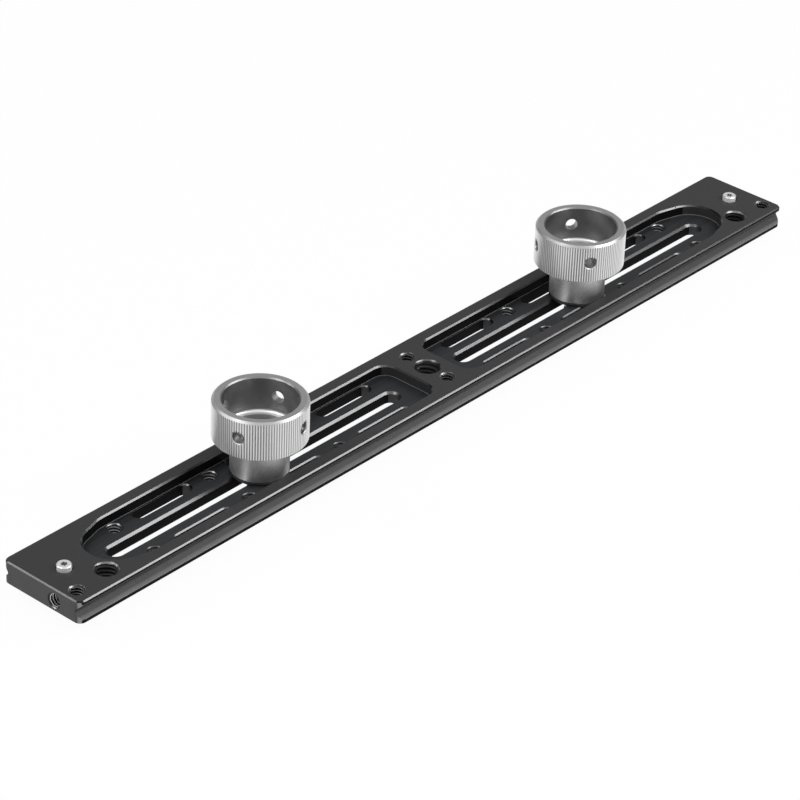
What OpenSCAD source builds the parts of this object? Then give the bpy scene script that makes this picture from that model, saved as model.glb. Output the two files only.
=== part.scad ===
/* [Rail] */
// Length of the rail from end face to end face
rail_length = 418; // [400:1:460]
// Width of the rail over its lips
rail_width = 40; // [39:0.5:46]
// Thickness of the rail from underside to top
rail_height = 9.5; // [9.3:0.1:11]
// Radius of the four upright corners
corner_radius = 2.8; // [1.5:0.1:3]
// Bevel along the rail's upper edges
edge_bevel = 0.5; // [0.3:0.1:0.7]
// Bevel along the rail's lower edges
foot_bevel = 0.1; // [0.05:0.05:0.6]
// Height of each lip, above and below the side groove
lip_height = 1.6; // [1.3:0.1:2]
// Radius at the root of the side groove
groove_root_radius = 1; // [0.6:0.1:1.2]

/* [Pockets] */
// Depth of the pockets below the top
pocket_depth = 4.6; // [4:0.1:5]
// Width of the pockets between their walls
pocket_width = 28.1; // [27.5:0.1:29]
// Width of the solid bridge between the pockets
bridge_width = 19.4; // [18.6:0.1:19.6]
// Radius in the pockets' inner corners
pocket_corner_radius = 6; // [3:0.1:6.5]
// Radius of the pockets' rounded outer ends
pocket_end_radius = 12.1; // [11.8:0.1:12.6]
// From the rail's end face to the centre of a pocket's rounded outer end
end_land = 37; // [36:0.5:40]
// How far before that centre the pocket's walls begin to taper
taper_lead = 5.4; // [4.5:0.1:8]
// Radius of the shoulder where the taper begins
shoulder_radius = 12; // [6:0.5:12.5]
// Bevel round the pockets' mouths
pocket_bevel = 0.6; // [0.3:0.1:0.8]

/* [Slots] */
// Width of the long slots that the studs run in
long_slot_width = 6.5; // [6.4:0.05:6.8]
// From the rail's middle to the centre of a long slot's inner end
long_slot_start = 21.45; // [21.4:0.05:24]
// Bevel round the long slots
long_slot_bevel = 0.85; // [0.4:0.05:1]
// Width of the short slots in the rows
short_slot_width = 5.3; // [4.5:0.1:5.4]
// Length of the short slots
short_slot_length = 29.4; // [20:0.2:32]
// Bevel round the short slots, except where the pocket's wall cuts it off
short_slot_bevel = 0.5; // [0.2:0.05:0.55]

/* [Threaded holes] */
// Major diameter of the small camera thread
small_thread = 6.35; // [6:0.05:6.35]
// Major diameter of the large camera thread
large_thread = 9.525; // [9:0.025:9.6]
// Bevel at the mouths of the threaded holes
thread_bevel = 0.15; // [0.05:0.05:0.2]
// Bevel at the mouths of the centre hole
centre_bevel = 0.85; // [0.2:0.05:1]
// From the rail's middle line to the small holes beside the centre hole
centre_pair_offset = 10.6; // [10:0.1:12]
// From the rail's middle to the first small hole of a row
row_start = 62; // [58:0.5:64]
// Spacing of the small holes along a row
row_pitch = 50; // [48:0.5:51]
// Land between a row's features and the pocket's wall
row_land = 0.1; // [0.05:0.05:0.2]
// From the end face to the large hole near it
large_hole_end = 21.85; // [21:0.05:22.2]
// From the front side to the large holes
large_hole_side = 8.85; // [8.5:0.05:9.2]
// From the end face to the small corner hole
corner_hole_end = 5.3; // [5:0.1:5.6]
// From the front side to the small corner holes
corner_hole_side = 6.95; // [6.5:0.05:7]
// From the front side to the threaded hole in each end face
face_hole_side = 13.35; // [13.3:0.05:13.5]
// Height of the end face's hole above the underside
face_hole_height = 4.15; // [4:0.05:4.6]
// Depth of the end face's hole
face_hole_depth = 9; // [7:0.5:9]

/* [Stop screws] */
// From the end face to the stop screw
stop_screw_end = 11.5; // [11:0.1:12.5]
// Diameter of the stop screw's head
stop_head = 5.7; // [5.4:0.1:6.2]
// Height of the stop screw's head
stop_head_height = 3; // [2.6:0.1:3.4]
// How far the stop screw's head stands above the rail
stop_head_proud = 2; // [1.2:0.1:2.2]
// Bevel on the stop screw's head
stop_head_bevel = 0.3; // [0.2:0.1:0.7]
// Thread diameter of the stop screw
stop_thread = 3; // [2.5:0.1:3.5]
// Gap between the stop screw's head and its counterbore
stop_head_gap = 0.4; // [0.2:0.05:0.5]
// How far the stop screw's end stays inside the underside
stop_end_inset = 1.5; // [0.5:0.1:2.5]
// Depth of the six-lobed socket in the head
socket_depth = 1.6; // [1:0.1:2]
// Distance from the socket's centre to the centres of its lobes
socket_lobe_circle = 1.05; // [0.9:0.05:1.2]
// Radius of the socket's lobes
socket_lobe_radius = 0.36; // [0.3:0.02:0.4]

/* [Knobs] */
// From the rail's middle to the left knob
left_knob_x = 96; // [40:0.5:150]
// From the rail's middle to the right knob
right_knob_x = 93.5; // [40:0.5:150]
// Turn of the left knob
left_knob_turn = 16.5; // [0:0.5:90]
// Turn of the right knob
right_knob_turn = 53; // [0:0.5:90]
// Diameter of the knob over its knurl
knob_diameter = 37.2; // [34:0.1:40]
// Height of the knob's cup
cup_height = 16.45; // [13:0.05:18]
// Inner diameter of the cup
cup_bore = 29.4; // [27:0.1:30]
// Thickness of the cup's floor over the neck's shoulder
cup_floor = 1.25; // [0.8:0.05:2.5]
// Fillet between the cup's floor and wall
cup_fillet = 1.85; // [0.8:0.05:2.2]
// Bevel on the outside of the cup's rim
rim_outer_bevel = 1.05; // [0.3:0.05:1.3]
// Bevel on the inside of the cup's rim
rim_inner_bevel = 0.5; // [0.2:0.05:0.8]
// Bevel on the lower edge of the cup
skirt_bevel = 0.35; // [0.15:0.05:0.5]
// Spacing of the knurl's ridges round the knob
knurl_pitch = 1.044; // [1.02:0.002:1.6]
// Depth of the knurl's grooves
knurl_depth = 0.3; // [0.2:0.02:0.4]
// Diameter of the neck
neck_diameter = 22.9; // [21:0.1:23]
// Length of the neck
neck_length = 14.55; // [13:0.05:17]
// Bevel on the neck's lower edge
neck_bevel = 0.4; // [0.2:0.05:0.6]
// Number of holes through the cup's wall for a turning bar
bar_holes = 4; // [2:2:6]
// Diameter of the bar holes
bar_hole = 5; // [3:0.1:5.5]
// Height of the bar holes above the cup's lower edge
bar_hole_height = 8.7; // [7.5:0.1:10]
// Bevel at the outside of the bar holes
bar_hole_bevel = 0.3; // [0.1:0.05:0.4]
// Diameter of the lock nut's recess in the cup's floor
recess_diameter = 17.6; // [15:0.1:18.5]
// Bevel round the recess
recess_bevel = 0.3; // [0.1:0.05:0.5]
// Thickness of the threaded web below the recess
web_thickness = 10; // [8:0.1:10.5]

/* [Washers] */
// Thickness of the washer under the neck
washer_thickness = 1.1; // [0.8:0.05:1.5]
// Bevel on the washer's edges
washer_bevel = 0.15; // [0.05:0.05:0.3]
// Gap between the washer's bore and the stud
washer_clearance = 0.35; // [0.2:0.05:0.5]

/* [Studs and lock nuts] */
// How far the stud stands below the rail
stud_reach = 6; // [5:0.1:8]
// Gap between the stud's lower thread and the rail's underside
collar_gap = 0.5; // [0.3:0.1:1]
// Bevel on the stud's tip
tip_bevel = 0.8; // [0.4:0.1:1.2]
// Bevel at the stud's collar and top end
stud_bevel = 0.4; // [0.2:0.1:0.6]
// How far the stud's top stands out of the lock nut
stud_top = 1; // [0.5:0.1:1.2]
// Gap between the stud and the sides of the long slot
slot_clearance = 0.2; // [0.15:0.05:0.3]
// Width of the lock nut across its flats
nut_flats = 11.11; // [10:0.01:12]
// Height of the lock nut
nut_height = 3.97; // [3:0.01:4.5]

/* [Fits] */
// Gap on each flat of a rubbing washer
running_gap = 0.05; // [0.02:0.01:0.1]
// Radial gap of a screw thread in its hole
thread_gap = 0.05; // [0.02:0.01:0.1]

/* [Hidden] */
$fn = 96;
// One overrun for every cut
over = 0.2;

// Places along the rail, measured from its middle
end_x = rail_length / 2;
side_y = rail_width / 2;
pocket_start = bridge_width / 2;
pocket_wall = pocket_width / 2;
pocket_end = end_x - end_land;

// Heights above the plane that the stud tips stand on
underside = stud_reach;
rail_top = underside + rail_height;
pocket_floor = rail_top - pocket_depth;
floor_thickness = rail_height - pocket_depth;
neck_foot = pocket_floor + washer_thickness + 2 * running_gap;
web_top = neck_foot + web_thickness;
cup_foot = neck_foot + neck_length;
cup_base = cup_foot + cup_floor;
knob_top = cup_foot + cup_height;

// Rows of small holes and short slots beside each long slot
row_count = floor((pocket_end - row_start) / row_pitch) + 1;
hole_row_y = pocket_wall - row_land - small_thread / 2 - thread_bevel;
slot_row_y = pocket_wall - row_land - short_slot_width / 2;

// The stud's diameters follow the slot that it runs in and the threads that it carries
shank_diameter = long_slot_width - 2 * slot_clearance;
stud_bore = small_thread + 2 * thread_gap;

// Where the tapering wall of a pocket leaves its shoulder and meets its rounded end
corner_reach = norm([taper_lead, pocket_wall]);
end_angle = atan2(pocket_wall, -taper_lead) - acos(pocket_end_radius / corner_reach);
shoulder_x = pocket_end - taper_lead - shoulder_radius * tan((90 - end_angle) / 2);
shoulder_y = pocket_wall - shoulder_radius;
corner_x = pocket_start + pocket_corner_radius;
corner_y = pocket_wall - pocket_corner_radius;

// An outline is a ring of arcs, anticlockwise, each with a centre, a radius and the angles at its ends
function upright_corner(x, y, r, turn) = [[x, y], r, turn, turn + 90];
rail_outline = [
    upright_corner(end_x - corner_radius, side_y - corner_radius, corner_radius, 0),
    upright_corner(corner_radius - end_x, side_y - corner_radius, corner_radius, 90),
    upright_corner(corner_radius - end_x, corner_radius - side_y, corner_radius, 180),
    upright_corner(end_x - corner_radius, corner_radius - side_y, corner_radius, 270)
];
pocket_outline = [
    [[pocket_end, 0], pocket_end_radius, -end_angle, end_angle],
    [[shoulder_x, shoulder_y], shoulder_radius, end_angle, 90],
    upright_corner(corner_x, corner_y, pocket_corner_radius, 90),
    upright_corner(corner_x, -corner_y, pocket_corner_radius, 180),
    [[shoulder_x, -shoulder_y], shoulder_radius, -90, -end_angle]
];
function slot_outline(x1, x2, y, width) = [
    [[x2, y], width / 2, -90, 90],
    [[x1, y], width / 2, 90, 270]
];

function arc_point(arc, angle) = arc[0] + arc[1] * [cos(angle), sin(angle)];

// The area inside an outline
module area_inside(outline) {
    polygon([for (arc = outline) each [arc_point(arc, arc[2]), arc_point(arc, arc[3])]]);
    for (arc = outline)
        translate(arc[0])
            circle(arc[1]);
}

// A straight stretch of edge, its profile drawn with X outward on the left of the way from a to b
module edge_run(a, b) {
    way = b - a;
    translate([a[0], a[1], 0])
        rotate([0, 0, atan2(way[1], way[0])])
            rotate([90, 0, 90])
                linear_extrude(norm(way))
                    children();
}

// A profile carried round every edge of an outline
module along_outline(outline) {
    for (i = [0 : len(outline) - 1]) {
        arc = outline[i];
        next = outline[(i + 1) % len(outline)];
        translate(arc[0])
            rotate_extrude(angle = arc[3] - arc[2], start = arc[2])
                translate([arc[1], 0])
                    children();
        edge_run(arc_point(next, next[2]), arc_point(arc, arc[3]))
            children();
    }
}

// Bevel profile for the edge of a block, and for the mouth of a hole
module outer_bevel(bevel) {
    polygon([[-bevel - over, over], [over, -bevel - over], [over, over]]);
}
module mouth_bevel(bevel) {
    polygon([[-over, -bevel - over], [bevel + over, over], [-over, over]]);
}

// A hole of the given outline, cut down from z = 0 with a bevelled mouth
module bevelled_cut(outline, depth, bevel) {
    translate([0, 0, -depth])
        linear_extrude(depth + over)
            area_inside(outline);
    along_outline(outline)
        mouth_bevel(bevel);
}

// The lead-in cone of a round hole whose mouth is at z = 0 and faces up
module lead_in(diameter, bevel) {
    translate([0, 0, -bevel])
        cylinder(h = bevel + over, d1 = diameter, d2 = diameter + 2 * (bevel + over));
}

// A threaded hole through a plate that lies between z = -length and z = 0
module through_thread(diameter, length, bevel) {
    translate([0, 0, -length - over])
        cylinder(h = length + 2 * over, d = diameter);
    lead_in(diameter, bevel);
    translate([0, 0, -length])
        mirror([0, 0, 1])
            lead_in(diameter, bevel);
}

module at_both_ends() {
    children();
    mirror([1, 0, 0])
        children();
}

module at_both_sides() {
    children();
    mirror([0, 1, 0])
        children();
}

// Groove profile, X going in from the side face and Y up from the underside
module groove_profile() {
    middle = rail_height / 2;
    apex = middle - lip_height;
    root = apex - groove_root_radius * sqrt(2);
    tangent = groove_root_radius * sin(45);
    polygon([
        [-over, lip_height - over],
        [root + tangent, middle - tangent],
        [root + tangent, middle + tangent],
        [-over, rail_height - lip_height + over]
    ]);
    translate([root, middle])
        circle(groove_root_radius);
}

module side_groove() {
    translate([-end_x - over, side_y, underside])
        rotate([90, 0, 90])
            linear_extrude(rail_length + 2 * over)
                mirror([1, 0])
                    groove_profile();
}

module rail_blank() {
    difference() {
        translate([0, 0, underside])
            linear_extrude(rail_height)
                area_inside(rail_outline);
        translate([0, 0, rail_top])
            along_outline(rail_outline)
                outer_bevel(edge_bevel);
        translate([0, 0, underside])
            mirror([0, 0, 1])
                along_outline(rail_outline)
                    outer_bevel(foot_bevel);
        at_both_sides()
            side_groove();
    }
}

// A short slot, whose bevel stops where the pocket's wall rises beside it
module short_slot(x) {
    reach = (short_slot_length - short_slot_width) / 2;
    depth = floor_thickness + over;
    intersection() {
        bevelled_cut(
            slot_outline(x - reach, x + reach, slot_row_y, short_slot_width),
            depth, short_slot_bevel
        );
        translate([x - short_slot_length, 0, -depth - over])
            cube([2 * short_slot_length, pocket_wall, depth + 2 * over]);
    }
}

// One pocket with its long slot, its rows of small holes and its short slots
module pocket_cuts() {
    translate([0, 0, rail_top])
        bevelled_cut(pocket_outline, pocket_depth, pocket_bevel);
    translate([0, 0, pocket_floor]) {
        bevelled_cut(
            slot_outline(long_slot_start, pocket_end, 0, long_slot_width),
            floor_thickness + over, long_slot_bevel
        );
        for (i = [0 : row_count - 1]) {
            hole_x = row_start + i * row_pitch;
            at_both_sides() {
                translate([hole_x, hole_row_y, 0])
                    through_thread(small_thread, floor_thickness, thread_bevel);
                short_slot(hole_x - row_pitch / 2);
            }
        }
    }
}

// The holes of the solid land at one end of the rail
module end_cuts() {
    translate([end_x - large_hole_end, large_hole_side - side_y, rail_top])
        through_thread(large_thread, rail_height, thread_bevel);
    translate([end_x - corner_hole_end, corner_hole_side - side_y, rail_top])
        through_thread(small_thread, rail_height, thread_bevel);
    translate([end_x, face_hole_side - side_y, underside + face_hole_height])
        rotate([0, 90, 0]) {
            translate([0, 0, -face_hole_depth])
                cylinder(h = face_hole_depth + over, d = small_thread);
            lead_in(small_thread, thread_bevel);
        }
    translate([end_x - stop_screw_end, 0, rail_top]) {
        translate([0, 0, stop_head_proud - stop_head_height])
            cylinder(h = stop_head_height, d = stop_head + 2 * stop_head_gap);
        translate([0, 0, -rail_height - over])
            cylinder(h = rail_height + over, d = stop_thread + 2 * thread_gap);
    }
}

module rail() {
    color("dimgray")
        difference() {
            rail_blank();
            at_both_ends() {
                pocket_cuts();
                end_cuts();
            }
            translate([0, 0, rail_top]) {
                through_thread(large_thread, rail_height, centre_bevel);
                at_both_sides()
                    translate([0, centre_pair_offset, 0])
                        through_thread(small_thread, rail_height, thread_bevel);
            }
        }
}

module six_lobes() {
    circle(socket_lobe_circle);
    for (turn = [0 : 60 : 300])
        rotate(turn)
            translate([socket_lobe_circle, 0])
                circle(socket_lobe_radius);
}

// A cap screw with a six-lobed socket, standing in the land at the +X end
module stop_screw() {
    seat = rail_top + stop_head_proud - stop_head_height;
    straight = stop_head_height - stop_head_bevel;
    shank = seat - underside - stop_end_inset;
    color("silver")
        translate([end_x - stop_screw_end, 0, seat])
            difference() {
                union() {
                    cylinder(h = straight, d = stop_head);
                    translate([0, 0, straight])
                        cylinder(h = stop_head_bevel, d1 = stop_head, d2 = stop_head - 2 * stop_head_bevel);
                    translate([0, 0, -shank])
                        cylinder(h = shank, d = stop_thread);
                }
                translate([0, 0, stop_head_height - socket_depth])
                    linear_extrude(socket_depth + over)
                        six_lobes();
            }
}

// The knurl's cross-section, one ridge and one groove to each pitch
module knurl_section() {
    ridges = round(PI * knob_diameter / knurl_pitch);
    crest = knob_diameter / 2;
    polygon([
        for (i = [0 : 2 * ridges - 1])
            (crest - (i % 2) * knurl_depth) * [cos(180 * i / ridges), sin(180 * i / ridges)]
    ]);
}

// Half of the cup's outside, drawn from the axis, with both of its bevels
module cup_half_section() {
    r = knob_diameter / 2;
    polygon([
        [0, cup_foot],
        [r - skirt_bevel, cup_foot],
        [r, cup_foot + skirt_bevel],
        [r, knob_top - rim_outer_bevel],
        [r - rim_outer_bevel, knob_top],
        [0, knob_top]
    ]);
}

// Half of the hollow inside the cup, its floor filleted to its wall
module hollow_half_section() {
    r = cup_bore / 2;
    depth = knob_top - cup_base + over;
    translate([0, cup_base]) {
        square([r - cup_fillet, depth]);
        translate([0, cup_fillet])
            square([r, depth - cup_fillet]);
        translate([r - cup_fillet, cup_fillet])
            circle(cup_fillet);
    }
}

module knob() {
    color("lightgray")
        difference() {
            union() {
                intersection() {
                    translate([0, 0, cup_foot])
                        linear_extrude(cup_height)
                            knurl_section();
                    rotate_extrude()
                        cup_half_section();
                }
                translate([0, 0, neck_foot + neck_bevel])
                    cylinder(h = neck_length + cup_floor - neck_bevel, d = neck_diameter);
                translate([0, 0, neck_foot])
                    cylinder(h = neck_bevel, d1 = neck_diameter - 2 * neck_bevel, d2 = neck_diameter);
            }
            rotate_extrude()
                intersection() {
                    hollow_half_section();
                    translate([0, cup_base])
                        square([cup_bore, cup_height]);
                }
            translate([0, 0, knob_top])
                lead_in(cup_bore, rim_inner_bevel);
            translate([0, 0, web_top])
                cylinder(h = cup_base - web_top + over, d = recess_diameter);
            translate([0, 0, cup_base])
                lead_in(recess_diameter, recess_bevel);
            translate([0, 0, neck_foot - over])
                cylinder(h = web_thickness + 2 * over, d = stud_bore);
            for (i = [0 : bar_holes - 1])
                translate([0, 0, cup_foot + bar_hole_height])
                    rotate([0, 90, 360 * i / bar_holes]) {
                        translate([0, 0, cup_bore / 2 - cup_fillet])
                            cylinder(h = knob_diameter / 2 - cup_bore / 2 + cup_fillet + over, d = bar_hole);
                        translate([0, 0, knob_diameter / 2 - knurl_depth])
                            lead_in(bar_hole, bar_hole_bevel);
                    }
        }
}

// A stepped stud: large thread below the rail, plain shank in the slot, small thread up into the knob
module stud() {
    thread_top = web_top + nut_height + stud_top;
    collar = underside - collar_gap;
    color("gray")
        rotate_extrude()
            polygon([
                [0, 0],
                [large_thread / 2 - tip_bevel, 0],
                [large_thread / 2, tip_bevel],
                [large_thread / 2, collar - stud_bevel],
                [large_thread / 2 - stud_bevel, collar],
                [shank_diameter / 2, collar],
                [shank_diameter / 2, neck_foot],
                [small_thread / 2, neck_foot],
                [small_thread / 2, thread_top - stud_bevel],
                [small_thread / 2 - stud_bevel, thread_top],
                [0, thread_top]
            ]);
}

// A thin hexagon nut, its corners turned off top and bottom
module lock_nut() {
    corners = nut_flats / cos(30);
    turned = (corners - nut_flats) / 2;
    slope = tan(30);
    color("silver")
        translate([0, 0, web_top])
            difference() {
                intersection() {
                    cylinder(h = nut_height, d = corners, $fn = 6);
                    rotate_extrude()
                        polygon([
                            [0, 0],
                            [nut_flats / 2, 0],
                            [corners / 2, turned * slope],
                            [corners / 2, nut_height - turned * slope],
                            [nut_flats / 2, nut_height],
                            [0, nut_height]
                        ]);
                }
                translate([0, 0, -over])
                    cylinder(h = nut_height + 2 * over, d = stud_bore);
            }
}

module washer() {
    outer = neck_diameter / 2;
    inner = small_thread / 2 + washer_clearance;
    color("black")
        translate([0, 0, pocket_floor + running_gap])
            rotate_extrude()
                polygon([
                    [inner, 0],
                    [outer - washer_bevel, 0],
                    [outer, washer_bevel],
                    [outer, washer_thickness - washer_bevel],
                    [outer - washer_bevel, washer_thickness],
                    [inner, washer_thickness]
                ]);
}

module at_left_knob() {
    translate([-left_knob_x, 0, 0])
        rotate([0, 0, left_knob_turn])
            children();
}

module at_right_knob() {
    translate([right_knob_x, 0, 0])
        rotate([0, 0, right_knob_turn])
            children();
}

module left_stop_screw() {
    mirror([1, 0, 0])
        stop_screw();
}
module right_stop_screw() {
    stop_screw();
}
module left_knob() {
    at_left_knob()
        knob();
}
module right_knob() {
    at_right_knob()
        knob();
}
module left_stud() {
    at_left_knob()
        stud();
}
module right_stud() {
    at_right_knob()
        stud();
}
module left_lock_nut() {
    at_left_knob()
        lock_nut();
}
module right_lock_nut() {
    at_right_knob()
        lock_nut();
}
module left_washer() {
    at_left_knob()
        washer();
}
module right_washer() {
    at_right_knob()
        washer();
}

rail();
left_stop_screw();
right_stop_screw();
left_knob();
left_stud();
left_lock_nut();
left_washer();
right_knob();
right_stud();
right_lock_nut();
right_washer();
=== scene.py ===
from math import cos, pi, radians, sin

import bmesh
import bpy
from mathutils import Matrix, Vector


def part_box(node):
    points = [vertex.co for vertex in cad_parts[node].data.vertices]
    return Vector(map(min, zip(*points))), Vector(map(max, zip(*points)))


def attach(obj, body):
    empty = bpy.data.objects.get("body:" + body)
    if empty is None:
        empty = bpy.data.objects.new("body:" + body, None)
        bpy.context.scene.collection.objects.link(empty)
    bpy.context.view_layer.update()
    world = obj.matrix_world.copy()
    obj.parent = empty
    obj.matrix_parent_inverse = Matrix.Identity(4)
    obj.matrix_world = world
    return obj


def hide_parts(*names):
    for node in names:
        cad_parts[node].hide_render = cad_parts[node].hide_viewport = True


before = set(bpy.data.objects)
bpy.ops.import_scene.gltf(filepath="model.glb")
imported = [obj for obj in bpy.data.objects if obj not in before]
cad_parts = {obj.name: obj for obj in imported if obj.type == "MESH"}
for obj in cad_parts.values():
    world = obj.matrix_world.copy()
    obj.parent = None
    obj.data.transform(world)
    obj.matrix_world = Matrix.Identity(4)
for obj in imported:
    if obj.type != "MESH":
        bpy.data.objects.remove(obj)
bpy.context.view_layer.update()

# The rail: one bar milled from an extruded section of aluminium, with two pockets and their slots.
# Its edges are broken by small bevels, and the whole bar is then anodised black. The bevels come
# smooth off the cutter and shine, while the blasted faces and the extruded grooves stay satin.


class Signal:
    """One output of a material's node tree. Arithmetic on it adds the nodes that do the sum."""

    def __init__(self, tree, socket=None):
        self.tree = tree
        self.socket = socket

    def node(self, kind, settings=None, sockets=None, out=0):
        made = self.tree.nodes.new(kind)
        for name, value in (settings or {}).items():
            setattr(made, name, value)
        for name, value in (sockets or {}).items():
            if isinstance(value, Signal):
                self.tree.links.new(value.socket, made.inputs[name])
            else:
                made.inputs[name].default_value = value
        return Signal(self.tree, made.outputs[out] if len(made.outputs) else None)

    def maths(self, operation, a, b=0.0):
        return self.node("ShaderNodeMath", {"operation": operation}, {0: a, 1: b})

    def __add__(self, other):
        return self.maths("ADD", self, other)

    def __radd__(self, other):
        return self.maths("ADD", other, self)

    def __neg__(self):
        return 0 - self

    def __sub__(self, other):
        return self.maths("SUBTRACT", self, other)

    def __rsub__(self, other):
        return self.maths("SUBTRACT", other, self)

    def __mul__(self, other):
        return self.maths("MULTIPLY", self, other)

    def __rmul__(self, other):
        return self.maths("MULTIPLY", other, self)

    def __truediv__(self, other):
        return self.maths("DIVIDE", self, other)

    def __abs__(self):
        return self.maths("ABSOLUTE", self)

    def __gt__(self, other):
        return self.maths("GREATER_THAN", self, other)

    def __lt__(self, other):
        return self.maths("LESS_THAN", self, other)

    def clamped(self):
        return self.node("ShaderNodeClamp", None, {"Value": self})

    def between(self, low, high):
        """0 below low, 1 above high, and even steps from one to the other."""
        return ((self - low) / (high - low)).clamped()

    def axes(self, vector):
        """The three numbers of a vector."""
        return [self.node("ShaderNodeSeparateXYZ", None, {0: vector}, i) for i in range(3)]

    def noise(self, place, size, detail=2.0):
        """Soft noise whose lumps are about size metres across."""
        return self.node(
            "ShaderNodeTexNoise", None, {"Vector": place, "Scale": 1 / size, "Detail": detail}
        )

    def mixed(self, factor, a, b):
        """Colour a where factor is 0, and colour b where it is 1."""
        return self.node(
            "ShaderNodeMix", {"data_type": "RGBA"}, {0: factor, 6: a, 7: b}, out=2
        )

    def bumped(self, height, depth, strength):
        return self.node(
            "ShaderNodeBump", None, {"Height": height, "Distance": depth, "Strength": strength}
        )


def new_finish(name):
    """An empty material, and the signal that its nodes are made from."""
    material = bpy.data.materials.new(name)
    material.use_nodes = True
    material.node_tree.nodes.clear()
    return material, Signal(material.node_tree)


def dress(material, maker, first, second=None, share=0.0):
    """Ends a material with one Principled shader, or with two, share being the second's part."""
    surface = maker.node("ShaderNodeBsdfPrincipled", None, first)
    if second:
        other = maker.node("ShaderNodeBsdfPrincipled", None, second)
        surface = maker.node("ShaderNodeMixShader", None, {0: share, 1: surface, 2: other})
    maker.node("ShaderNodeOutputMaterial", None, {"Surface": surface})
    return material


def grey(level):
    return (level, level, level, 1.0)


MM = 0.001
# How near to a face still counts as on it
NEAR = 0.1 * MM
rail_low, rail_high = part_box("rail")
underside, rail_top = rail_low.z, rail_high.z
half_length, half_width = rail_high.x, rail_high.y
POCKET_DEPTH = 4.6 * MM
pocket_floor = rail_top - POCKET_DEPTH
# How far a pocket reaches with its bevel: across, and along from where it starts and narrows
POCKET_REACH = 14.75 * MM
POCKET_START = 8.9 * MM
POCKET_NARROWS = 172 * MM
POCKET_NARROWING = 1.3
FOOT_HIGHLIGHT_HEIGHT = 0.35 * MM
# The strip of floor between the short slots and the wall starts here
ROW_LAND = 13.8 * MM
CENTRE_REACH = 5.8 * MM
CENTRE_BRIGHT = 0.42 * MM
CORNER_REACH = 3 * MM
GROOVE_DEPTH = 5.2 * MM
# Heights from the middle of the groove
GROOVE_REACH = 3.4 * MM
FLANK_LIGHT_FROM, FLANK_LIGHT_TO = 1.9 * MM, 2.45 * MM
LIP_EDGE = 2.95 * MM


def at_slope(nz, slope):
    """1 where the surface is tilted so that the upward part of its normal is slope."""
    return 1 - (abs(abs(nz) - slope) * 12).clamped()


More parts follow.
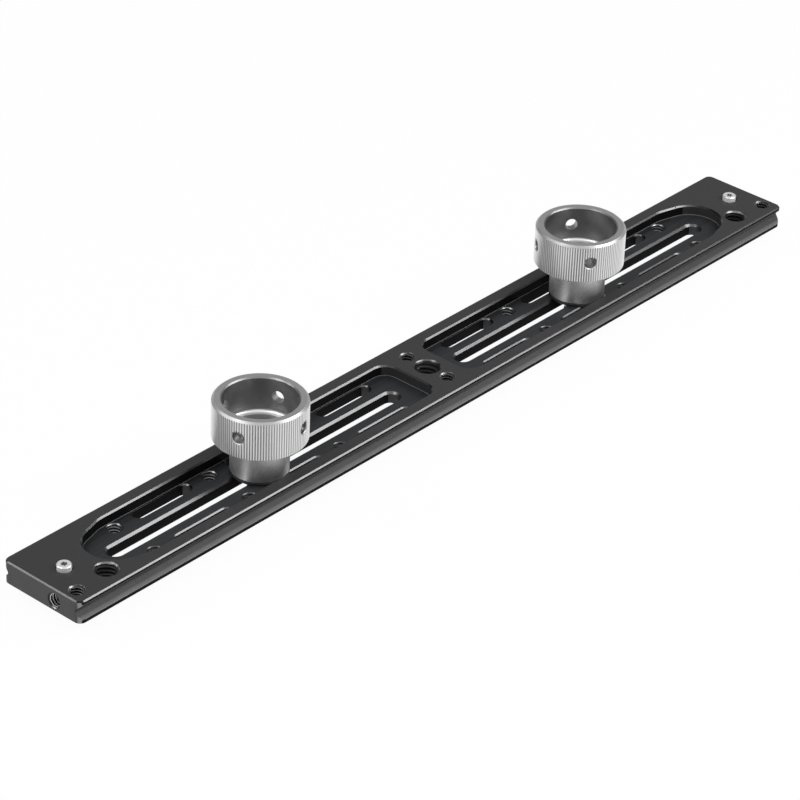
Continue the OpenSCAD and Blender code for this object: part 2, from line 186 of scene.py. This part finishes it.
def black_anodised():
    material, m = new_finish("black_anodised")
    place = m.node("ShaderNodeTexCoord", out=3)
    x, y, z = m.axes(place)
    nx, ny, nz = m.axes(m.node("ShaderNodeNewGeometry", out=1))
    # The bevels lie at 45 degrees; so do the groove's flanks, near the sides at mid height
    slanted = at_slope(nz, cos(pi / 4))
    from_middle = abs(z - (underside + rail_top) / 2)
    in_groove = (abs(y) > half_width - GROOVE_DEPTH) * (from_middle < GROOVE_REACH)
    bevel = slanted * (1 - in_groove)
    # The outer part of each flank is painted lighter, and its outermost edge lighter still:
    # painted light where the upper lip's shadow doesn't fall, which leaves the root dark as
    # painted shade
    flank_painted_light = slanted * in_groove * from_middle.between(FLANK_LIGHT_FROM, FLANK_LIGHT_TO)
    flank_edge_highlight = slanted * in_groove * (from_middle > LIP_EDGE)
    # The lips and the long walls are given a second, nearly black shader that reflects little:
    # painted shade
    side = (abs(ny) > 0.85) * (1 - in_groove)
    past = m.maths("MAXIMUM", abs(x) - POCKET_NARROWS, 0.0)
    in_pocket = (y * y + past * past * POCKET_NARROWING < POCKET_REACH ** 2) * (
        abs(x) > POCKET_START
    )
    above_floor = z - pocket_floor
    # A thin band at the foot of the pocket walls is painted light: a painted highlight line
    foot_highlight = in_pocket * (abs(nz) < 0.3) * (above_floor > 0) * (above_floor < FOOT_HIGHLIGHT_HEIGHT)
    floor = in_pocket * (abs(above_floor) < NEAR)
    end_face = (abs(nx) > 0.9) * (abs(x) > half_length - NEAR)
    # The bevels across the rail in the pockets are painted dark, as painted shade, and so are the
    # corners' bevels, which fade out
    across_rail = in_pocket * (above_floor > 1 * MM) * abs(nx).between(0.5, 0.66)
    at_corner = (abs(x) > half_length - CORNER_REACH) * (abs(y) > half_width - CORNER_REACH)
    turned_corner = at_corner * (abs(nx) > 0.2) * (abs(ny) > 0.2)
    # The bevels on the floor strip beside the pocket walls are painted dark as well, as painted
    # shade from the walls
    beside_wall = in_pocket * (abs(y) > ROW_LAND) * (above_floor < NEAR)
    # The bevels on the right hand of holes and slots are painted darker too, as painted shade
    right_hand = (-nx).between(0.5, 0.65) * ny.between(-0.2, 0.05) * (
        abs(x) < half_length - CORNER_REACH
    )
    # The lower part of the centre hole's broad bevel is painted dark, as painted shade; only its
    # upper part is bright
    centre_low = (x * x + y * y < CENTRE_REACH ** 2) * (z < rail_top - CENTRE_BRIGHT)
    bevel_painted_shade = (across_rail + turned_corner + beside_wall + 0.75 * right_hand + centre_low).clamped()
    # The upright corners of the lips are painted light and metallic near 45 degrees: a painted
    # highlight
    corner_highlight = at_corner * (abs(nz) < 0.2) * abs(nx * ny).between(0.3, 0.5)
    bevels_and_corner_highlight = (bevel + corner_highlight).clamped()
    cloud = m.noise(place, 9 * MM, 3.0)
    grain = m.noise(place, 0.16 * MM, 2.0)
    fine = m.noise(place, 0.05 * MM, 1.0)
    # Streaks along the groove from the extrusion's die, and the cutter's faint arcs in the pockets
    along = m.node(
        "ShaderNodeVectorMath", {"operation": "MULTIPLY"}, {0: place, 1: (0.01, 1.0, 1.0)}
    )
    streaks = m.noise(along, 0.12 * MM, 2.0)
    passes = m.noise(along, 1.6 * MM, 2.0).between(0.35, 0.65)
    bar = m.mixed(cloud, (0.0235, 0.0225, 0.0245, 1.0), (0.0275, 0.0265, 0.0285, 1.0))
    # The pocket floors are painted darker than the top, a painted shade for the recess, and carry
    # the cutter's faint passes
    floor_shade_and_passes = m.mixed(passes, (0.0095, 0.0115, 0.013, 1.0), (0.017, 0.0195, 0.0215, 1.0))
    colour = m.mixed(floor, bar, floor_shade_and_passes)
    colour = m.mixed(flank_painted_light, colour, m.mixed(grain, grey(0.088), grey(0.105)))
    colour = m.mixed(flank_edge_highlight, colour, grey(0.16))
    colour = m.mixed(end_face, colour, grey(0.034))
    colour = m.mixed(bevels_and_corner_highlight, colour, m.mixed(grain, grey(0.095), grey(0.11)))
    colour = m.mixed(bevel * bevel_painted_shade, colour, grey(0.018))
    colour = m.mixed(corner_highlight, colour, grey(0.25))
    relief = grain + fine * 0.5 + in_groove * streaks
    blasted = {
        "Base Color": colour,
        "Metallic": bevels_and_corner_highlight,
        "Roughness": 0.42 + 0.1 * cloud + 0.06 * fine + 0.06 * in_groove * streaks - 0.2 * bevels_and_corner_highlight,
        "Specular IOR Level": 0.45,
        "Normal": m.bumped(relief, 0.006 * MM, 0.6 - 0.4 * bevels_and_corner_highlight),
    }
    # Painted shade for the lips and long walls, with a painted highlight line at the foot of the
    # pocket walls
    shaded_lips_and_walls = {
        "Base Color": m.mixed(foot_highlight, grey(0.005), grey(0.19)),
        "Roughness": 0.6 + 0.1 * fine,
        "Specular IOR Level": 0.05,
        "Normal": m.bumped(grain, 0.006 * MM, 0.5),
    }
    return dress(material, m, blasted, shaded_lips_and_walls, (foot_highlight + side).clamped() * (1 - bevel))


def finish_node(name, material):
    """Gives a CAD node its finish."""
    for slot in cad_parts[name].material_slots:
        slot.material = material


finish_node("rail", black_anodised())

# The camera threads: quarter inch and three-eighths inch, cut straight into the rail's aluminium
# before it is anodised. Each is a tube of threads that fills its hole from the major diameter in.

INCH = 25.4 * MM
SMALL = {"major": INCH / 8, "pitch": INCH / 20}
LARGE = {"major": INCH * 3 / 16, "pitch": INCH / 16}
# Sides of every turned ring
STEPS = 48
# A sixty degree thread as shares of its pitch, and how far out the surface stands there
THREAD_FORM = [
    (0.0, 1.0), (0.125, 1.0), (0.23, 0.667), (0.335, 0.333), (0.4375, 0.0),
    (0.56, 0.0), (0.6875, 0.0), (0.79, 0.333), (0.895, 0.667),
]
# Half the depth of a thread to its pitch
THREAD_DEPTH_SHARE = 0.5413


def at_angle(k, radius, z):
    turn = 2 * pi * k / STEPS
    return (radius * cos(turn), radius * sin(turn), z)


def helix(bm, major, pitch, low, high, limit):
    """The turns of a thread between two heights. limit(radius, z) cuts them back at the ends."""
    depth = THREAD_DEPTH_SHARE * pitch
    form = len(THREAD_FORM)
    known = {}

    def corner(k, row):
        share, out = THREAD_FORM[row % form]
        z = low + pitch * (row // form - 1 + share + k / STEPS)
        key = (k, "low" if z <= low else "high" if z >= high else row)
        if key not in known:
            z = min(max(z, low), high)
            radius = limit(major - depth * (1 - out), z)
            known[key] = bm.verts.new(at_angle(k, radius, z))
        return known[key]

    def wrapped(k, row):
        return corner(k, row) if k < STEPS else corner(0, row + form)

    rows = form * (int((high - low) / pitch) + 3)
    for row in range(rows):
        for k in range(STEPS):
            ring = [
                wrapped(k, row), wrapped(k + 1, row),
                wrapped(k + 1, row + 1), wrapped(k, row + 1),
            ]
            ring = [v for i, v in enumerate(ring) if v is not ring[i - 1]]
            if len(ring) > 2 and not bm.faces.get(ring):
                bm.faces.new(ring)


def turned(bm, profile):
    """A strip of rings from (radius, z) pairs; a radius of 0 closes the end."""
    rings = []
    for radius, z in profile:
        if radius == 0:
            rings.append([bm.verts.new((0, 0, z))] * STEPS)
        else:
            rings.append([bm.verts.new(at_angle(k, radius, z)) for k in range(STEPS)])
    for lower, upper in zip(rings, rings[1:]):
        for k in range(STEPS):
            n = (k + 1) % STEPS
            ring = [lower[k], lower[n], upper[n], upper[k]]
            bm.faces.new([v for i, v in enumerate(ring) if v is not ring[i - 1]])


# Points closer than this are one, and edges that turn more than the angle stay sharp
SAME_POINT = 0.0005 * MM
SHARP_ANGLE = radians(40)


def mesh_from(bm, name):
    """Joins what was drawn into one closed mesh, with every face turned outward."""
    bmesh.ops.remove_doubles(bm, verts=bm.verts, dist=SAME_POINT)
    bmesh.ops.recalc_face_normals(bm, faces=bm.faces)
    mesh = bpy.data.meshes.new(name)
    bm.to_mesh(mesh)
    bm.free()
    mesh.shade_smooth()
    mesh.set_sharp_from_angle(angle=SHARP_ANGLE)
    return mesh


def new_piece(name, mesh, material, body, matrix):
    """One more piece of the object, placed, riding on a body and finished as a slot says."""
    piece = bpy.data.objects.new(name, mesh)
    bpy.context.scene.collection.objects.link(piece)
    if not mesh.materials:
        mesh.materials.append(material)
    piece.matrix_world = matrix
    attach(piece, body)
    return piece


THREAD_BEVEL = 0.15 * MM
CENTRE_BEVEL = 0.85 * MM
WALL_GAP = 0.04 * MM
MOUTH_DEPTH = 0.82 * MM
rail_height = rail_top - underside
floor_thickness = pocket_floor - underside


def cut_thread(name, size, wear, mouth=0.17):
    """Cut threads stay black at their roots, and their crests and the cone at the mouth shine."""
    material, m = new_finish(name)
    place = m.node("ShaderNodeTexCoord", out=3)
    x, y, z = m.axes(place)
    nx, ny, nz = m.axes(m.node("ShaderNodeNewGeometry", out=1))
    radius = m.maths("SQRT", x * x + y * y)
    depth = THREAD_DEPTH_SHARE * size["pitch"]
    crest = 1 - radius.between(size["major"] - depth, size["major"] - 0.7 * depth)
    from_mouth = m.maths("MINIMUM", abs(z), abs(z + floor_thickness))
    cone = at_slope(nz, cos(pi / 4)) * (from_mouth < MOUTH_DEPTH)
    grain = m.noise(place, 0.16 * MM, 2.0)
    thread = m.mixed(crest, m.mixed(grain, grey(0.006), grey(0.01)), grey(wear))
    return dress(
        material,
        m,
        {
            "Base Color": m.mixed(cone, thread, grey(mouth)),
            "Metallic": (cone + crest).clamped(),
            "Roughness": 0.32 + 0.06 * grain,
            "Specular IOR Level": 0.4,
            "Normal": m.bumped(grain, 0.005 * MM, 0.5),
        },
    )


def thread_tube(name, size, length, bevel, cone, slope=1.0, blind=False):
    """A tube of threads whose upper mouth is at z = 0, each open end cut back by a cone."""
    major, pitch = size["major"], size["pitch"]
    high = -bevel
    low = -length + (0 if blind else bevel)

    def limit(radius, z):
        from_end = high - z if blind else min(high - z, z - low)
        if from_end > cone:
            return radius - WALL_GAP
        return max(radius - WALL_GAP, major - from_end * slope)

    bm = bmesh.new()
    helix(bm, major, pitch, low, high, limit)
    wall = major + WALL_GAP
    foot = limit(major - THREAD_DEPTH_SHARE * pitch, low) if blind else major
    if blind:
        turned(bm, [(major, high), (wall, high), (wall, low - pitch / 4), (0, low - pitch / 4)])
        turned(bm, [(foot, low), (0, low)])
    else:
        turned(bm, [(major, high), (wall, high), (wall, low), (major, low)])
    return mesh_from(bm, name)


SMALL_CONE = 0.45 * MM
LARGE_CONE = 0.65 * MM
# The centre hole's broad bevel ends at the thread, which only tapers in
CENTRE_RUN_IN = 1.5 * MM
CENTRE_TAPER = 0.35
row_thread = thread_tube("row_thread", SMALL, floor_thickness, THREAD_BEVEL, SMALL_CONE)
# The front rows have a finish of their own, so they have a mesh of their own
front_thread = row_thread.copy()
land_thread = thread_tube("land_thread", SMALL, rail_height, THREAD_BEVEL, SMALL_CONE)
end_thread = thread_tube("end_thread", LARGE, rail_height, THREAD_BEVEL, LARGE_CONE)
centre_thread = thread_tube(
    "centre_thread", LARGE, rail_height, CENTRE_BEVEL, CENTRE_RUN_IN, CENTRE_TAPER
)

small_finish = cut_thread("small_thread", SMALL, 0.2, mouth=0.27)
large_finish = cut_thread("large_thread", LARGE, 0.04)
# The front rows' threads are painted darker at their mouths and crests: painted shade from the
# pocket's front wall
shaded_row_finish = cut_thread("shaded_row_thread", SMALL, 0.1, mouth=0.05)


def add_thread(name, mesh, finish, x, y, z):
    place = Matrix.Translation((x, y, z))
    new_piece(name, mesh, finish, "rail_body", place)


ROW_Y = 10.625 * MM
ROW_X = [62 * MM, 112 * MM, 162 * MM]
ROWS = {
    "front": (-ROW_Y, front_thread, shaded_row_finish),
    "back": (ROW_Y, row_thread, small_finish),
}
END_HOLE_FROM_END = 21.85 * MM
END_HOLE_FROM_FRONT = 8.85 * MM
CORNER_HOLE_FROM_END = 5.3 * MM
CORNER_HOLE_FROM_FRONT = 6.95 * MM
CENTRE_PAIR_Y = 10.6 * MM
for end, way in (("left", -1), ("right", 1)):
    for number, x in enumerate(ROW_X, 1):
        for side, (y, mesh, finish) in ROWS.items():
            name = f"{end}_{side}_row_thread_{number}"
            add_thread(name, mesh, finish, way * x, y, pocket_floor)
    add_thread(
        f"{end}_large_thread", end_thread, large_finish,
        way * (half_length - END_HOLE_FROM_END), END_HOLE_FROM_FRONT - half_width, rail_top,
    )
    add_thread(
        f"{end}_corner_thread", land_thread, small_finish,
        way * (half_length - CORNER_HOLE_FROM_END), CORNER_HOLE_FROM_FRONT - half_width, rail_top,
    )
for side, y in (("front", -CENTRE_PAIR_Y), ("back", CENTRE_PAIR_Y)):
    add_thread(f"centre_{side}_thread", land_thread, small_finish, 0, y, rail_top)
add_thread("centre_large_thread", centre_thread, large_finish, 0, 0, rail_top)

FACE_HOLE_DEPTH = 7 * MM
FACE_HOLE_FROM_FRONT = 13.35 * MM
FACE_HOLE_FROM_UNDERSIDE = 4.15 * MM
face_thread = thread_tube(
    "face_thread", SMALL, FACE_HOLE_DEPTH, THREAD_BEVEL, SMALL_CONE, blind=True
)
# The end faces are tapped last, after anodising, so their threads are bare bright metal
bare_finish = cut_thread("bare_thread", SMALL, 0.85, mouth=0.5)
for end, way in (("left", -1), ("right", 1)):
    mouth = Matrix.Translation((
        way * half_length, FACE_HOLE_FROM_FRONT - half_width, underside + FACE_HOLE_FROM_UNDERSIDE,
    ))
    turn = Matrix.Rotation(way * pi / 2, 4, "Y")
    new_piece(
        f"{end}_face_thread", face_thread, bare_finish, "rail_body",
        mouth @ turn,
    )

# The stop screws: stainless cap screws with a six-lobed socket, driven into the lands at both
# ends. Their heads stand 2 mm proud, so that a clamp can't slide off the rail.

STOP_FROM_END = 11.5 * MM
SOCKET_REACH = 1.5 * MM
LATHE_PITCH = 0.3 * MM


def stainless():
    material, m = new_finish("stainless_steel")
    place = m.node("ShaderNodeTexCoord", out=3)
    x, y, z = m.axes(place)
    nx, ny, nz = m.axes(m.node("ShaderNodeNewGeometry", out=1))
    across = abs(x) - (half_length - STOP_FROM_END)
    radius = m.maths("SQRT", across * across + y * y)
    # Grease and shadow sit in the socket, and the top is faced on a lathe
    head_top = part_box("left_stop_screw")[1].z
    in_socket = (radius < SOCKET_REACH) * (z < head_top - NEAR)
    lathe = m.maths("SINE", radius * (2 * pi / LATHE_PITCH))
    grain = m.noise(place, 0.12 * MM, 2.0)
    # The sides and the faced tops are finely cut and scatter a part of the light, and the bevel
    # between them is smooth
    side = abs(nz) < 0.5
    bevel = (nz > 0.5) * (nz < 0.9)
    bright = m.mixed((0.5 + 0.5 * lathe) * (nz > 0.9), grey(0.9), grey(0.72))
    bright = m.mixed(bevel, bright, grey(0.7))
    return dress(
        material,
        m,
        {
            "Base Color": m.mixed(in_socket, bright, m.mixed(grain, grey(0.3), grey(0.42))),
            "Metallic": 0.55 + 0.45 * bevel,
            "Roughness": 0.3 + 0.12 * grain + 0.22 * side,
            "Normal": m.bumped(lathe * 0.4 + grain, 0.004 * MM, 0.5),
        },
    )


steel = stainless()
for end in ("left", "right"):
    finish_node(f"{end}_stop_screw", steel)

# The washers: thin black nylon discs, punched from sheet. Each lies loose round its stud, and the
# knob turns on it, so that it doesn't mark the rail.


def black_nylon():
    material, m = new_finish("black_nylon")
    place = m.node("ShaderNodeTexCoord", out=3)
    grain = m.noise(place, 0.25 * MM, 3.0)
    return dress(
        material,
        m,
        {
            "Base Color": m.mixed(grain, grey(0.008), grey(0.014)),
            "Roughness": 0.5 + 0.12 * grain,
            "Normal": m.bumped(grain, 0.01 * MM, 0.5),
        },
    )


nylon = black_nylon()
for end in ("left", "right"):
    finish_node(f"{end}_washer", nylon)

# The studs: turned from plated steel, a large camera thread under the rail, a plain shank in the
# slot and a small thread up into the knob. The large thread is wider than the slot, which keeps
# the knob on the rail.


def plated_steel(name, tone):
    material, m = new_finish(name)
    place = m.node("ShaderNodeTexCoord", out=3)
    grain = m.noise(place, 0.2 * MM, 2.0)
    cloud = m.noise(place, 3 * MM, 2.0)
    return dress(
        material,
        m,
        {
            "Base Color": m.mixed(cloud, grey(tone), grey(tone * 1.2)),
            "Metallic": 1.0,
            "Roughness": 0.28 + 0.15 * grain,
            "Normal": m.bumped(grain, 0.004 * MM, 0.5),
        },
    )


stud_steel = plated_steel("stud_steel", 0.3)
knob_axes = {}
for end in ("left", "right"):
    low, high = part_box(f"{end}_washer")
    knob_axes[end] = (low + high) / 2
stud_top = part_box("left_stud")[1].z
LARGE_THREAD_TOP = 5.5 * MM
NECK_FOOT = 12.1 * MM
STUD_TIP_BEVEL = 0.8 * MM
ROOT_BEVEL = 0.3 * MM
SHANK = 3.05 * MM


def stud_mesh():
    large, small = LARGE["major"], SMALL["major"]
    large_root = large - STUD_TIP_BEVEL - ROOT_BEVEL
    small_root = small - STUD_TIP_BEVEL

    def large_limit(radius, z):
        return min(radius, large_root + z, large_root + (LARGE_THREAD_TOP - z))

    def small_limit(radius, z):
        return min(radius, small_root + (z - NECK_FOOT), small_root + (stud_top - z))

    bm = bmesh.new()
    turned(bm, [(0, 0), (large_root, 0)])
    helix(bm, large, LARGE["pitch"], 0, LARGE_THREAD_TOP, large_limit)
    turned(bm, [
        (large_root, LARGE_THREAD_TOP), (SHANK, LARGE_THREAD_TOP),
        (SHANK, NECK_FOOT), (small_root, NECK_FOOT),
    ])
    helix(bm, small, SMALL["pitch"], NECK_FOOT, stud_top, small_limit)
    turned(bm, [(small_root, stud_top), (0, stud_top)])
    return mesh_from(bm, "stud")


stud = stud_mesh()
for end in ("left", "right"):
    axis = knob_axes[end]
    piece = new_piece(
        f"{end}_threaded_stud", stud, stud_steel, f"{end}_clamp",
        Matrix.Translation((axis.x, axis.y, 0)),
    )
    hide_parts(f"{end}_stud")

# The knobs: aluminium cups turned from bar, with a straight knurl, four holes for a turning bar
# and a plain neck. They are bead blasted and clear anodised, which leaves a soft pale grain.

KNOB_RADIUS = 18.6 * MM
KNURL_DEPTH = 0.3 * MM
KNURL_ROOT = KNOB_RADIUS - KNURL_DEPTH
RIM_FLAT_RADIUS = 17.5 * MM
NECK_RADIUS = 11.45 * MM
CUP_FOOT = 26.65 * MM
CUP_BASE = 27.9 * MM
CUP_BORE = 14.7 * MM
MOUTH_RADIUS = 15.3 * MM
FILLET = 1.9 * MM
BAR_HEIGHT = 35.35 * MM
BAR_HOLE_RADIUS = 2.7 * MM


def blasted_aluminium():
    material, m = new_finish("blasted_aluminium")
    place = m.node("ShaderNodeTexCoord", out=3)
    x, y, z = m.axes(place)
    nx, ny, nz = m.axes(m.node("ShaderNodeNewGeometry", out=1))
    across = m.maths("MINIMUM", abs(x - knob_axes["left"].x), abs(x - knob_axes["right"].x))
    radius = m.maths("SQRT", across * across + y * y)
    grain = m.noise(place, 0.22 * MM, 2.0)
    fine = m.noise(place, 0.07 * MM, 1.0)
    cloud = m.noise(place, 6 * MM, 2.0)
    tone = (0.6 * grain + 0.4 * cloud).between(0.3, 0.7)
    neck_tone = (0.5 * tone + 0.5 * grain).between(0.35, 0.65)
    slanted = at_slope(nz, cos(pi / 4))
    # The knurl's crests are painted much lighter than its grooves: partly rubbed bright, and
    # partly a painted highlight on the crests and painted shade in the grooves
    knurl = (radius > KNURL_ROOT - 0.2 * NEAR) * (abs(nz) < 0.3)
    crest = radius.between(KNOB_RADIUS - 0.8 * KNURL_DEPTH, KNOB_RADIUS - 0.2 * KNURL_DEPTH)
    rim_bevel = slanted * (radius > RIM_FLAT_RADIUS - NEAR)
    neck = (radius < NECK_RADIUS + NEAR) * (z < CUP_FOOT) * (abs(nz) < 0.8)
    # The inside of the cup is darker than the outside and a little smoother, and its floor darker
    # still. The fillet at its foot is painted light, a painted highlight
    in_cup = z > CUP_FOOT
    inner_wall = in_cup * (radius < MOUTH_RADIUS) * (abs(nz) < 0.8)
    inner_bevel = slanted * (radius < MOUTH_RADIUS) * (z > BAR_HEIGHT)
    inner_floor = in_cup * (radius < CUP_BORE - FILLET) * (nz > 0.9)
    fillet_highlight = in_cup * (radius > CUP_BORE - FILLET - NEAR) * (z < CUP_BASE + FILLET) * (
        nz.between(0.1, 0.4)
    )
    bar_hole = (radius > CUP_BORE + NEAR) * (radius < KNURL_ROOT - 2 * NEAR) * (
        abs(z - BAR_HEIGHT) < BAR_HOLE_RADIUS
    )
    colour = m.mixed(tone, grey(0.52), grey(0.6))
    colour = m.mixed(inner_wall, colour, m.mixed(cloud, grey(0.3), grey(0.45)))
    colour = m.mixed(inner_floor, colour, m.mixed(tone, grey(0.27), grey(0.33)))
    colour = m.mixed(fillet_highlight, colour, grey(0.7))
    colour = m.mixed(inner_bevel, colour, grey(0.2))
    colour = m.mixed(bar_hole, colour, m.mixed(tone, grey(0.3), grey(0.4)))
    colour = m.mixed(knurl * (1 - bar_hole), colour, m.mixed(crest, grey(0.36), grey(0.88)))
    colour = m.mixed(rim_bevel, colour, m.mixed(tone, grey(0.36), grey(0.43)))
    colour = m.mixed(neck, colour, m.mixed(neck_tone, grey(0.5), grey(0.76)))
    return dress(
        material,
        m,
        {
            "Base Color": colour,
            "Metallic": 1.0,
            "Roughness": 0.36 + 0.12 * fine + 0.06 * neck - 0.06 * inner_wall,
            "Normal": m.bumped(grain + 0.5 * fine, 0.012 * MM, 0.8),
        },
    )


aluminium = blasted_aluminium()
for end in ("left", "right"):
    finish_node(f"{end}_knob", aluminium)

# The lock nuts: thin plated hexagon nuts, spun down on the stud in the recess of each cup's floor
# to lock it in the knob.

nut_steel = plated_steel("nut_steel", 0.4)
for end in ("left", "right"):
    finish_node(f"{end}_lock_nut", nut_steel)

# The studio: a white floor and backdrop, a broad soft light high on the front left, a long narrow
# one on the front right, two small ones behind on the left, and a camera with a long lens where
# the photograph was taken from.

AIM = Vector((-14.7522, 0.9216, 6.0)) * MM
AZIMUTH, ELEVATION, ROLL = radians(-49.4993), radians(31.7141), radians(2.3522)
DISTANCE = 1375.1485 * MM
back = Vector((sin(AZIMUTH) * cos(ELEVATION), -cos(AZIMUTH) * cos(ELEVATION), sin(ELEVATION)))
right = Vector((cos(AZIMUTH), sin(AZIMUTH), 0))
up = back.cross(right)
camera_x = cos(ROLL) * right + sin(ROLL) * up
camera_y = cos(ROLL) * up - sin(ROLL) * right
camera = bpy.data.objects.new("camera", bpy.data.cameras.new("camera"))
bpy.context.scene.collection.objects.link(camera)
camera.data.sensor_width = 36
camera.data.lens = 156.874
camera.data.clip_start = 0.05
camera.data.clip_end = 50
turn = Matrix((camera_x, camera_y, back)).transposed()
camera.matrix_world = Matrix.Translation(AIM + DISTANCE * back) @ turn.to_4x4()
bpy.context.scene.camera = camera


def soft_light(name, towards, distance, size, power, along=(1, 0, 0)):
    """A lamp of size (long, short) that faces the object's middle, its long side laid along."""
    lamp = bpy.data.objects.new(name, bpy.data.lights.new(name, "AREA"))
    bpy.context.scene.collection.objects.link(lamp)
    lamp.data.shape = "RECTANGLE"
    lamp.data.size, lamp.data.size_y = size
    lamp.data.energy = power
    z_axis = Vector(towards).normalized()
    y_axis = z_axis.cross(Vector(along)).normalized()
    turn = Matrix((y_axis.cross(z_axis), y_axis, z_axis)).transposed()
    lamp.matrix_world = Matrix.Translation(distance * z_axis) @ turn.to_4x4()


soft_light("key", (-0.35, -0.4, 0.85), 1.4, (1.4, 1.4), 5.0)
soft_light("edge", (0.42, -0.61, 0.67), 1.0, (0.72, 0.3), 5.4, along=(-0.92, -0.2, 0.34))
soft_light("back", (-0.58, 0.62, 0.53), 1.4, (0.36, 0.36), 2.3)
soft_light("left", (-0.62, 0.2, 0.76), 1.4, (0.45, 0.45), 4.4)

world = bpy.data.worlds.new("studio")
bpy.context.scene.world = world
world.use_nodes = True
world.node_tree.nodes.clear()
w = Signal(world.node_tree)


def ray_is(m, *kinds):
    """1 for rays of these kinds, and 0 for the others."""
    rays = [m.node("ShaderNodeLightPath", out=f"Is {kind} Ray") for kind in kinds]
    total = rays[0]
    for ray in rays[1:]:
        total = total + ray
    return total.clamped()


# A low white backdrop stands round the floor, and the rest of the room is grey
heading = w.axes(w.node("ShaderNodeTexCoord", out=0))[2]
low = 1 - abs(heading).between(0.1, 0.2)
backdrop = (ray_is(w, "Camera", "Transmission") + ray_is(w, "Glossy") * low).clamped()
sky = w.node(
    "ShaderNodeBackground", None,
    {"Color": w.mixed(backdrop, grey(0.39), grey(1.0)), "Strength": 1.0},
)
w.node("ShaderNodeOutputWorld", None, {"Surface": sky})

bpy.ops.mesh.primitive_plane_add(size=12, location=(0, 0, 0))
floor = bpy.context.object
floor.name = "studio_floor"
paper, m = new_finish("white_paper")
plain = m.node("ShaderNodeBsdfDiffuse", None, {"Color": grey(0.85)})
glow = m.node("ShaderNodeEmission", None, {"Color": grey(1.0), "Strength": 1.0})
share = ray_is(m, "Camera", "Glossy", "Transmission") * 0.96
top = m.node("ShaderNodeMixShader", None, {0: share, 1: plain, 2: glow})
# The floor is clear from below, so that the underside can be looked at
clear = m.node("ShaderNodeBsdfTransparent")
below = m.node("ShaderNodeNewGeometry", out="Backfacing")
seen = m.node("ShaderNodeMixShader", None, {0: below, 1: top, 2: clear})
m.node("ShaderNodeOutputMaterial", None, {"Surface": seen})
floor.data.materials.append(paper)

bpy.context.scene.view_settings.view_transform = "Standard"
